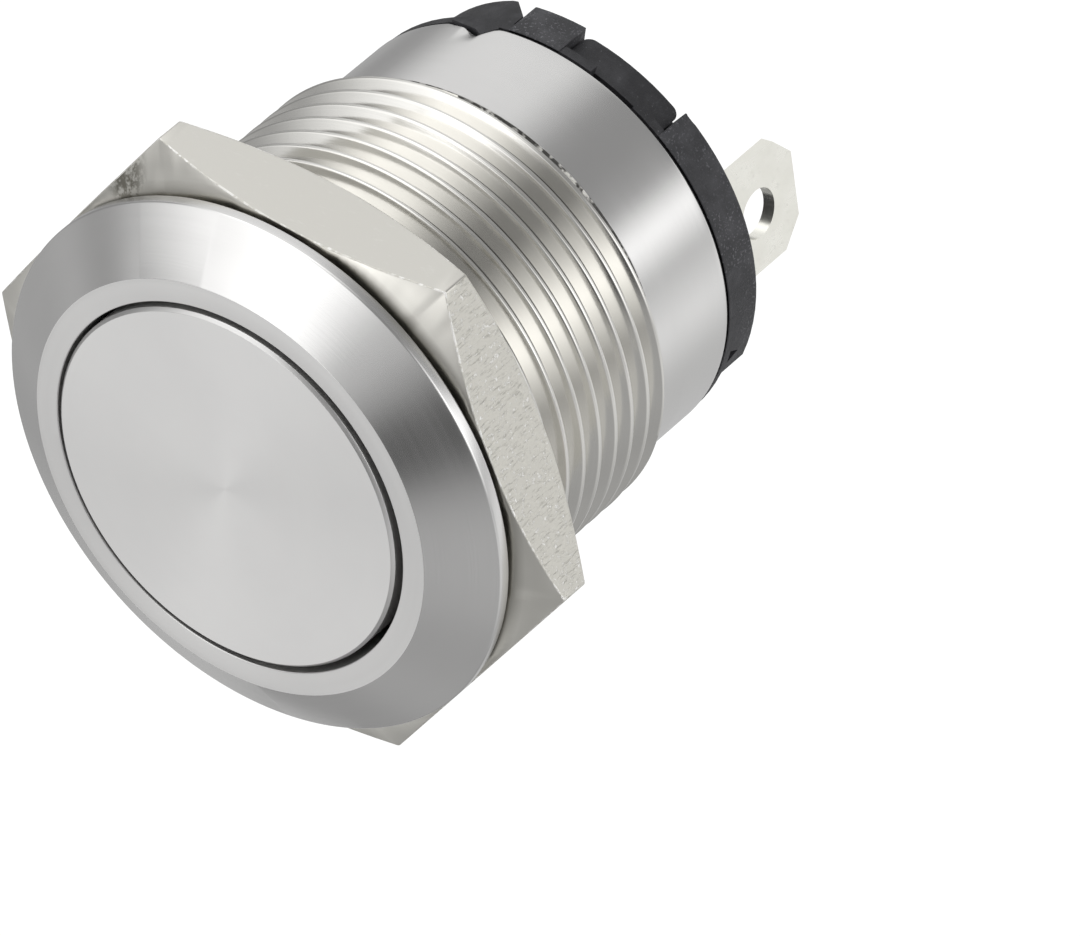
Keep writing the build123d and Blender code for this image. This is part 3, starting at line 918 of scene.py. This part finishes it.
def make_housing():
    """Bezel, threaded bushing, barrel and inner web as one turned piece."""
    columns = housing_columns()
    rings = []
    finishes = []
    for radius, height, finish in housing_front():
        rings.append([polar(radius, angle, height) for angle in columns])
        finishes.append(finish)

    # The climbing rings start and end beyond the thread, and thread_ring holds them within it
    phases = sorted({0.0, 0.5, *thread_phases, *(-phase for phase in thread_phases)})
    turns_beyond = 2
    first_ring = len(rings)
    for turn in range(ceil(-thread_run_out / thread_pitch) + turns_beyond):
        for phase in phases:
            ring = thread_ring(columns, phase, thread_first_crest - (turn + phase) * thread_pitch)
            rings.append(ring)
            finishes.append(partial(thread_finish, abs(phase), [point.z for point in ring]))
    last_ring = len(rings)

    for radius, height, finish in housing_rear():
        rings.append(barrel_ring(columns, radius, height))
        finishes.append(finish)

    def joined(k):
        """The ring that a ring runs on into after one turn."""
        if first_ring <= k < last_ring:
            return max(k - len(phases), first_ring - 1)
        return k

    materials = {
        "ring": ring_steel_painted_shade,
        "bezel": bezel_steel,
        "thread": thread_metal,
        "crest": crest_metal,
        "root": root_painted_shade,
        "burr": burr_painted_metal,
        "barrel": barrel_steel,
        "bore": bore_steel,
    }
    piece = ring_mesh("turned_housing", rings, finishes, materials, joined=joined)
    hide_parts("housing")
    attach(piece, "switch_body")


# Nut

def hexagon_radius(angle):
    """Radius of the hexagon with slightly round corners, at an angle in degrees."""
    half_side = radians(nut_side / 2)
    off = (angle - nut_turn) % nut_side - nut_side / 2
    reach = (nut_flat - nut_corner_radius) / cos(half_side)
    tangent_out = reach + nut_corner_radius * cos(half_side)
    tangent = atan2(nut_corner_radius * sin(half_side), tangent_out)
    turn = radians(nut_side / 2 - abs(off))
    if turn < tangent:
        return reach * cos(turn) + sqrt(nut_corner_radius ** 2 - (reach * sin(turn)) ** 2)
    return nut_flat / cos(radians(off))


def nut_columns():
    """Even columns, with closer ones at the hexagon's corners."""
    columns = set(even_columns())
    for corner in range(0, 360, nut_side):
        for off in corner_columns:
            columns.add((nut_turn + corner + off) % 360)
    return sorted(columns)


def edge_wobble(angle, side):
    """How far the nut's edge is off its mean width at an angle, as a value about 0."""
    where = Vector((cos(radians(angle)), sin(radians(angle)), side)) * wave_scale
    return noise.noise(where * ripple_scale) * ripple_share + noise.noise(where) * wave_share


def nut_edge_place(side, step, angle):
    """A place on the rounded edge between cone and flat; step runs from 0 to 1.

    Side is 1 for the nut's front and -1 for its rear. By the middle of a flat there is no cone,
    and the edge starts on the face.
    """
    corner = hexagon_radius(angle)
    face = nut_high.z if side > 0 else nut_low.z
    slope = tan(nut_chamfer_angle)
    width = nut_edge * (1 + edge_unevenness * edge_wobble(angle, side))
    edge = face - side * max(0, corner - nut_flat) * slope
    start_radius = corner - width
    start_height = edge + side * width * slope if corner > nut_flat + width else face
    end_height = edge - side * width
    turn = step * pi / 2
    radius = start_radius + (corner - start_radius) * sin(turn)
    height = end_height + (start_height - end_height) * cos(turn)
    return radius, angle, height


def make_nut():
    """Hexagon turned down on both faces, with the uneven edges of a plated nut."""
    columns = nut_columns()
    rings = []
    finishes = []

    def add(finish, place):
        """Adds a ring, given as a function from an angle to radius, angle and height."""
        rings.append([polar(*place(angle)) for angle in columns])
        finishes.append(finish)

    def add_circle(finish, radius, height):
        """Adds a plain turned ring."""
        add(finish, lambda angle: (radius, angle, height))

    def add_face_rim(finish, side, height):
        """Adds the outer end of a flat face, where the cone or the edge starts."""
        add(finish, lambda angle: (min(nut_flat, nut_edge_place(side, 0, angle)[0]), angle, height))

    def flat_finish(j):
        """One flat is smooth, and the others keep the strokes of the drawn bar."""
        return "smooth" if (columns[j] - nut_turn) % 360 < nut_side else "drawn"

    front = nut_high.z
    rear = nut_low.z
    chamfer_radius = nut_bore_radius + nut_bore_chamfer
    add_circle("front", nut_bore_radius, front - nut_bore_chamfer)
    add_circle("front", chamfer_radius, front)
    add_face_rim("front", 1, front)
    for step in edge_steps:
        add("edge" if step < 1 else flat_finish, partial(nut_edge_place, 1, step))
    for step in reversed(edge_steps):
        add("edge" if step > 0 else "smooth", partial(nut_edge_place, -1, step))
    add_face_rim("smooth", -1, rear)
    add_circle("smooth", chamfer_radius, rear)
    add_circle("smooth", nut_bore_radius, rear + nut_bore_chamfer)
    materials = {
        "smooth": nut_smooth,
        "front": nut_front_metal,
        "edge": nut_edge_metal,
        "drawn": nut_drawn,
    }
    piece = ring_mesh("plated_nut", rings, finishes, materials)
    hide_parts("hex_nut")
    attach(piece, "nut")


# Button

def make_button():
    """The metal button: a turned cup with a softly edged flat face, set a little aside."""
    top = cap_high.z
    inside = button_radius - button_wall
    profile = rounded(
        [
            (0, top, 0, "face"),
            (button_radius - button_bevel, top, button_bevel_edge, "edge"),
            (button_radius, top - button_bevel, button_edge, "bore"),
            (button_radius, cap_low.z, button_edge, "bore"),
            (inside, cap_low.z, button_edge, "bore"),
            (inside, top - button_face, button_inner_fillet, "bore"),
            (0, top - button_face, 0, "bore"),
        ]
    )
    columns = even_columns()
    rings = []
    # The outer wall alone stands aside, and the inside stays on the plunger
    for radius, height, _ in profile:
        shift = button_shift if radius > inside + button_wall / 2 else Vector((0, 0, 0))
        rings.append([polar(radius, angle, height) + shift for angle in columns])
    finishes = [finish for _, _, finish in profile]
    materials = {"face": face_steel_painted_shade, "edge": ring_steel_painted_shade, "bore": bore_steel}
    piece = ring_mesh("turned_button", rings, finishes, materials, closed=False)
    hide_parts("button_cap")
    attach(piece, "button")


# Base cover

def make_land_fronts():
    """The front lip of each land, which laps over the block's flange up to the barrel's edge."""
    columns_per_land = 24
    profile = (
        (land_radius - lip_depth, lip_front),
        (land_radius - lip_edge, lip_front),
        (land_radius, lip_front - lip_edge),
        (land_radius, lip_rear),
        (land_radius - lip_depth, lip_rear),
    )
    mesh = bmesh.new()
    for start, end in land_angles:
        for turn in half_turns:
            sections = []
            for step in range(columns_per_land + 1):
                angle = turn + start + (end - start) * step / columns_per_land
                sections.append([mesh.verts.new(polar(r, angle, z) * mm) for r, z in profile])
            skin_sections(mesh, sections)
    piece = finished_piece("land_fronts", mesh, [cover_black], crease=lip_crease)
    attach(piece, "switch_body")


# Springs

def make_coil(name, node, wire_thickness, turns, body):
    """A round-wire coil in the place of a spring's solid."""
    sections_per_turn = 40
    wire_sides = 12
    low, high = box_mm(node)
    wire_radius = wire_thickness / 2
    coil_radius = high.x - wire_radius
    bottom = low.z + wire_radius
    height = high.z - low.z - wire_thickness
    count = round(turns * sections_per_turn)
    climb = atan2(height, turns * 2 * pi * coil_radius)
    mesh = bmesh.new()
    sections = []
    for step in range(count + 1):
        angle = turns * 360 * step / count
        outward = polar(1, angle, 0)
        rising = polar(-sin(climb), angle + 90, cos(climb))
        centre = polar(coil_radius, angle, bottom + height * step / count)
        section = []
        for side in range(wire_sides):
            round_wire = 2 * pi * side / wire_sides
            off = (outward * cos(round_wire) + rising * sin(round_wire)) * wire_radius
            section.append(mesh.verts.new((centre + off) * mm))
        sections.append(section)
    skin_sections(mesh, sections)
    piece = finished_piece(name, mesh, [spring_steel])
    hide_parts(node)
    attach(piece, body)
    return piece


def make_springs():
    """Both springs as round-wire coils, each with its own copy of its mesh."""
    return_coil = make_coil("return_coil", "return_spring", return_wire, return_turns, "switch_body")
    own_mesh(return_coil)
    contact_coil = make_coil("contact_coil", "contact_spring", contact_wire, contact_turns, "button")
    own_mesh(contact_coil)


make_housing()
make_nut()
make_button()
make_land_fronts()
make_springs()


# Light: a plain tent with soft boxes outside it, each by its direction from the object in
# degrees. A negative level takes light away, as a dark panel does.
tent_level = 0.36
soft_boxes = {
    # centre azimuth, centre elevation, half width, half height, soft edge, level
    "key": (120, 58, 40, 24, 14, 1.33),
    "key_low": (115, 28, 34, 14, 12, 0.7),
    "key_right": (56, 74, 34, 9, 18, 0.66),
    "key_left": (162, 34, 12, 14, 10, 0.44),
    "front": (222, 46, 20, 16, 14, 0.98),
    "front_low": (228, 30, 26, 14, 12, 0.3),
    "fill": (268, 20, 24, 22, 12, 0.16),
    "right": (12, 0, 18, 22, 14, 2.4),
    "under": (0, -50, 180, 30, 16, 0.08),
    "under_right": (6, -50, 10, 30, 9, 1.28),
    "under_side": (320, -50, 14, 30, 14, 0.5),
    "under_front": (275, -55, 75, 28, 12, 0.36),
    "under_back": (120, -50, 38, 30, 12, 0.6),
    "under_left": (150, -50, 24, 30, 22, 0.15),
    "low_front": (226, -23, 22, 11, 3, 0.12),
    "low_corner": (234, -20, 8, 9, 3, 0.2),
    "side": (100, 0, 26, 20, 14, 2.2),
    "side_left": (318, 15, 24, 34, 16, 0.64),
    "top": (165, 78, 50, 12, 12, 1.9),
    "back": (195, 5, 16, 25, 4, 0.17),
    "back_edge": (186, 16, 6, 8, 4, 0.1),
    "dark_panel": (346, 65, 24, 8, 7, -0.36),
    "dark_left": (211, -44, 7, 16, 4, -0.18),
}


def make_soft_box():
    """The light so far with a soft box's own added, for a direction."""
    group, given, out = new_group(
        "soft_box",
        {
            "Light": ("NodeSocketFloat", 0.0),
            "Azimuth": ("NodeSocketFloat", 0.0),
            "Elevation": ("NodeSocketFloat", 0.0),
            "Centre Azimuth": ("NodeSocketFloat", 0.0),
            "Centre Elevation": ("NodeSocketFloat", 0.0),
            "Half Width": ("NodeSocketFloat", 10.0),
            "Half Height": ("NodeSocketFloat", 10.0),
            "Soft Edge": ("NodeSocketFloat", 5.0),
            "Level": ("NodeSocketFloat", 1.0),
        },
        {"Light": "NodeSocketFloat"},
    )
    own = given.outputs

    def inside(off, half):
        """1 within the box, 0 outside it, and between them over the soft edge."""
        outer = maths(group, "ADD", half, own["Soft Edge"])
        inner = maths(group, "SUBTRACT", half, own["Soft Edge"])
        return ranged(group, off, inner, outer, to_low=1.0, to_high=0.0)

    across = maths(group, "SUBTRACT", own["Azimuth"], own["Centre Azimuth"])
    across = maths(group, "WRAP", across, 180.0, -180.0)
    across = maths(group, "ABSOLUTE", across)
    up = maths(group, "SUBTRACT", own["Elevation"], own["Centre Elevation"])
    up = maths(group, "ABSOLUTE", up)
    mask = maths(group, "MULTIPLY", inside(across, own["Half Width"]), inside(up, own["Half Height"]))
    wire(group, maths(group, "MULTIPLY_ADD", mask, own["Level"], own["Light"]), out.inputs["Light"])
    return group


def make_world():
    """The tent seen by everything but the camera, which sees plain white."""
    world = bpy.data.worlds.new("light_tent")
    world.use_nodes = True
    bpy.context.scene.world = world
    tree = world.node_tree
    tree.nodes.clear()
    x, y, z = split_vector(tree, tree.nodes.new("ShaderNodeTexCoord").outputs["Generated"])
    azimuth = maths(tree, "DEGREES", maths(tree, "ARCTAN2", y, x))
    elevation = maths(tree, "DEGREES", maths(tree, "ARCSINE", z))
    group = make_soft_box()
    light = tree.nodes.new("ShaderNodeValue").outputs[0]
    light.default_value = tent_level
    labels = ("Centre Azimuth", "Centre Elevation", "Half Width", "Half Height", "Soft Edge", "Level")
    for soft_box in soft_boxes.values():
        node = tree.nodes.new("ShaderNodeGroup")
        node.node_tree = group
        wire(tree, light, node.inputs["Light"])
        wire(tree, azimuth, node.inputs["Azimuth"])
        wire(tree, elevation, node.inputs["Elevation"])
        for label, value in zip(labels, soft_box):
            node.inputs[label].default_value = value
        light = node.outputs["Light"]
    tent = tree.nodes.new("ShaderNodeBackground")
    wire(tree, light, tent.inputs["Strength"])
    white = tree.nodes.new("ShaderNodeBackground")
    seen = tree.nodes.new("ShaderNodeLightPath")
    mix = tree.nodes.new("ShaderNodeMixShader")
    wire(tree, seen.outputs["Is Camera Ray"], mix.inputs[0])
    wire(tree, tent.outputs[0], mix.inputs[1])
    wire(tree, white.outputs[0], mix.inputs[2])
    output = tree.nodes.new("ShaderNodeOutputWorld")
    wire(tree, mix.outputs[0], output.inputs["Surface"])


# Floor

def floor_white():
    """Matt white that for the camera is mostly its own glow, and is clear from below."""
    glow_share = 0.8
    glow_level = 1.18
    finish = Finish("floor_white", (0.85, 0.85, 0.85), roughness=0.9)
    tree = finish.tree
    glow = tree.nodes.new("ShaderNodeEmission")
    glow.inputs["Strength"].default_value = glow_level
    clear = tree.nodes.new("ShaderNodeBsdfTransparent")
    path = tree.nodes.new("ShaderNodeLightPath")
    side_seen = tree.nodes.new("ShaderNodeNewGeometry")
    lit = tree.nodes.new("ShaderNodeMixShader")
    wire(tree, maths(tree, "MULTIPLY", path.outputs["Is Camera Ray"], glow_share), lit.inputs[0])
    wire(tree, finish.shader.outputs[0], lit.inputs[1])
    wire(tree, glow.outputs[0], lit.inputs[2])
    shown = tree.nodes.new("ShaderNodeMixShader")
    wire(tree, side_seen.outputs["Backfacing"], shown.inputs[0])
    wire(tree, lit.outputs[0], shown.inputs[1])
    wire(tree, clear.outputs[0], shown.inputs[2])
    wire(tree, shown.outputs[0], tree.nodes["Material Output"].inputs["Surface"])
    return finish.material


def make_floor():
    """A plain floor, well below the switch, which its panel would hold. Sizes are in metres."""
    drop = 0.14
    reach = 6.0
    signs = [(-1, -1), (1, -1), (1, 1), (-1, 1)]
    corners = [(x * reach, y * reach, cad_low.z - drop) for x, y in signs]
    data = bpy.data.meshes.new("floor")
    data.from_pydata(corners, [], [(0, 1, 2, 3)])
    data.materials.append(floor_white())
    floor = bpy.data.objects.new("floor", data)
    bpy.context.scene.collection.objects.link(floor)
    floor.visible_glossy = False


def make_camera():
    """The camera at the photograph's viewing angle: its place and its three directions."""
    place = Vector((256.65, 248.42, 284.94)) * mm
    right = Vector((0.80321, -0.12030, -0.58343))
    up = Vector((-0.24257, 0.82848, -0.50476))
    back = Vector((0.54409, 0.54695, 0.63626))
    data = bpy.data.cameras.new("camera")
    data.sensor_width = 36.0
    data.lens = 422.67
    data.clip_start = 0.05
    data.clip_end = 20.0
    camera = bpy.data.objects.new("camera", data)
    turned = Matrix((right, up, back)).transposed().to_4x4()
    camera.matrix_world = Matrix.Translation(place) @ turned
    bpy.context.scene.collection.objects.link(camera)
    bpy.context.scene.camera = camera


make_world()
make_floor()
make_camera()
bpy.context.scene.view_settings.view_transform = "Standard"
